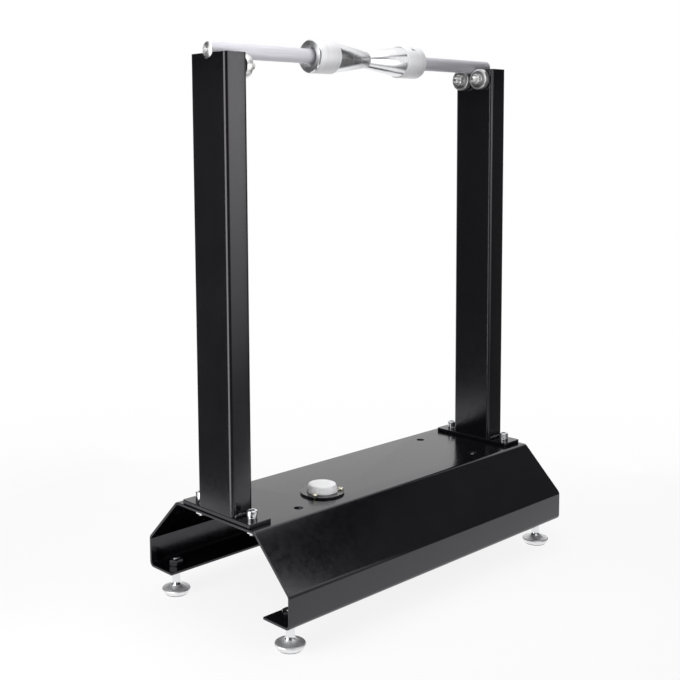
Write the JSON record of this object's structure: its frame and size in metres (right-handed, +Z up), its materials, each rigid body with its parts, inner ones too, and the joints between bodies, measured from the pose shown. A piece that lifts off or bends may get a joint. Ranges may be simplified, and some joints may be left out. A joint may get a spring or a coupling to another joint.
{
  "type": "wheel balancing stand",
  "caption": "Bent sheet base on levelling feet with two tube posts; bearings on the posts carry a free-turning axle with sliding centring cones that hold a wheel for static balancing.",
  "frame": {"origin": "on the floor under the middle of the base", "axes": "+X along the axle from the post beside the level to the other post, +Y away from the side nearest the level, +Z up"},
  "size_m": [0.403, 0.204, 0.5388],
  "materials": {
    "black_coat": "semi-gloss powder coat",
    "zinc_steel": "zinc plated",
    "plain_steel": "ground",
    "bright_chrome": "polished",
    "turned_aluminium": "turned and clear anodised",
    "cage_brass": "pressed",
    "level_rubber": "matt",
    "white_cup": "moulded",
    "level_fluid": "clear",
    "clear_window": "polished",
    "pad_nylon": "moulded"
  },
  "bodies": {
    "frame": {"base_sheet": "black_coat", "left_post": "black_coat", "right_post": "black_coat", "left_foot_plate": "black_coat", "right_foot_plate": "black_coat", "plate_screws": "zinc_steel", "plate_washers": "zinc_steel", "underside_washers": "zinc_steel", "underside_nuts": "zinc_steel", "bearing_studs": "plain_steel", "stud_inner_nuts": "zinc_steel", "bearing_spacers": "zinc_steel", "bearing_inner_rings": "plain_steel", "bearing_nuts": "zinc_steel", "level_pad": "level_rubber", "level_flange": "clear_window", "level_cup": "white_cup", "level_fluid": "level_fluid", "level_bubble": "level_fluid", "level_window": "clear_window", "level_screws": "zinc_steel", "foot_nuts": "zinc_steel"},
    "axle": {"axle": "turned_aluminium"},
    "left_cone": {"left_cone": "turned_aluminium"},
    "right_cone": {"right_cone": "turned_aluminium"},
    "left_set_screw": {"left_set_screw": "plain_steel"},
    "right_set_screw": {"right_set_screw": "plain_steel"},
    "bearing_left_front": {"outer_ring_left_front": "plain_steel", "shields_left_front": "plain_steel"},
    "ball_set_left_front": {"cage_left_front": "cage_brass", "balls_left_front": "bright_chrome"},
    "foot_left_front": {"foot_disc_left_front": "bright_chrome", "foot_pad_left_front": "pad_nylon", "foot_stud_left_front": "bright_chrome"},
    "bearing_left_back": {"outer_ring_left_back": "plain_steel", "shields_left_back": "plain_steel"},
    "ball_set_left_back": {"cage_left_back": "cage_brass", "balls_left_back": "bright_chrome"},
    "foot_left_back": {"foot_disc_left_back": "bright_chrome", "foot_pad_left_back": "pad_nylon", "foot_stud_left_back": "bright_chrome"},
    "bearing_right_front": {"outer_ring_right_front": "plain_steel", "shields_right_front": "plain_steel"},
    "ball_set_right_front": {"cage_right_front": "cage_brass", "balls_right_front": "bright_chrome"},
    "foot_right_front": {"foot_disc_right_front": "bright_chrome", "foot_pad_right_front": "pad_nylon", "foot_stud_right_front": "bright_chrome"},
    "bearing_right_back": {"outer_ring_right_back": "plain_steel", "shields_right_back": "plain_steel"},
    "ball_set_right_back": {"cage_right_back": "cage_brass", "balls_right_back": "bright_chrome"},
    "foot_right_back": {"foot_disc_right_back": "bright_chrome", "foot_pad_right_back": "pad_nylon", "foot_stud_right_back": "bright_chrome"}
  },
  "joints": [
    {"name": "axle_spin", "type": "hinge", "parent": "frame", "child": "axle", "pos_m": [0, 0, 0.52282], "axis": [1, 0, 0], "continuous": true},
    {"name": "left_cone_slide", "type": "slide", "parent": "axle", "child": "left_cone", "axis": [-1, 0, 0], "range_m": [0, 0.075]},
    {"name": "right_cone_slide", "type": "slide", "parent": "axle", "child": "right_cone", "axis": [1, 0, 0], "range_m": [0, 0.075]},
    {"name": "left_set_screw_back_out", "type": "slide", "parent": "left_cone", "child": "left_set_screw", "axis": [0, 0, 1], "range_m": [0, 0.003]},
    {"name": "right_set_screw_back_out", "type": "slide", "parent": "right_cone", "child": "right_set_screw", "axis": [0, -0.5736, 0.8192], "range_m": [0, 0.003]},
    {"name": "bearing_left_front_spin", "type": "hinge", "parent": "frame", "child": "bearing_left_front", "pos_m": [-0.17, -0.012, 0.509], "axis": [1, 0, 0], "continuous": true},
    {"name": "ball_set_left_front_spin", "type": "hinge", "parent": "frame", "child": "ball_set_left_front", "pos_m": [-0.17, -0.012, 0.509], "axis": [1, 0, 0], "continuous": true},
    {"name": "foot_left_front_height", "type": "slide", "parent": "frame", "child": "foot_left_front", "axis": [0, 0, 1], "range_m": [-0.004, 0.008]},
    {"name": "bearing_left_back_spin", "type": "hinge", "parent": "frame", "child": "bearing_left_back", "pos_m": [-0.17, 0.012, 0.509], "axis": [1, 0, 0], "continuous": true},
    {"name": "ball_set_left_back_spin", "type": "hinge", "parent": "frame", "child": "ball_set_left_back", "pos_m": [-0.17, 0.012, 0.509], "axis": [1, 0, 0], "continuous": true},
    {"name": "foot_left_back_height", "type": "slide", "parent": "frame", "child": "foot_left_back", "axis": [0, 0, 1], "range_m": [-0.004, 0.008]},
    {"name": "bearing_right_front_spin", "type": "hinge", "parent": "frame", "child": "bearing_right_front", "pos_m": [0.17, -0.012, 0.509], "axis": [1, 0, 0], "continuous": true},
    {"name": "ball_set_right_front_spin", "type": "hinge", "parent": "frame", "child": "ball_set_right_front", "pos_m": [0.17, -0.012, 0.509], "axis": [1, 0, 0], "continuous": true},
    {"name": "foot_right_front_height", "type": "slide", "parent": "frame", "child": "foot_right_front", "axis": [0, 0, 1], "range_m": [-0.004, 0.008]},
    {"name": "bearing_right_back_spin", "type": "hinge", "parent": "frame", "child": "bearing_right_back", "pos_m": [0.17, 0.012, 0.509], "axis": [1, 0, 0], "continuous": true},
    {"name": "ball_set_right_back_spin", "type": "hinge", "parent": "frame", "child": "ball_set_right_back", "pos_m": [0.17, 0.012, 0.509], "axis": [1, 0, 0], "continuous": true},
    {"name": "foot_right_back_height", "type": "slide", "parent": "frame", "child": "foot_right_back", "axis": [0, 0, 1], "range_m": [-0.004, 0.008]}
  ],
  "couplings": [
    {"joint": "bearing_left_front_spin", "follows": "axle_spin", "ratio": -0.63636},
    {"joint": "ball_set_left_front_spin", "follows": "axle_spin", "ratio": -0.41818},
    {"joint": "bearing_left_back_spin", "follows": "axle_spin", "ratio": -0.63636},
    {"joint": "ball_set_left_back_spin", "follows": "axle_spin", "ratio": -0.41818},
    {"joint": "bearing_right_front_spin", "follows": "axle_spin", "ratio": -0.63636},
    {"joint": "ball_set_right_front_spin", "follows": "axle_spin", "ratio": -0.41818},
    {"joint": "bearing_right_back_spin", "follows": "axle_spin", "ratio": -0.63636},
    {"joint": "ball_set_right_back_spin", "follows": "axle_spin", "ratio": -0.41818}
  ]
}
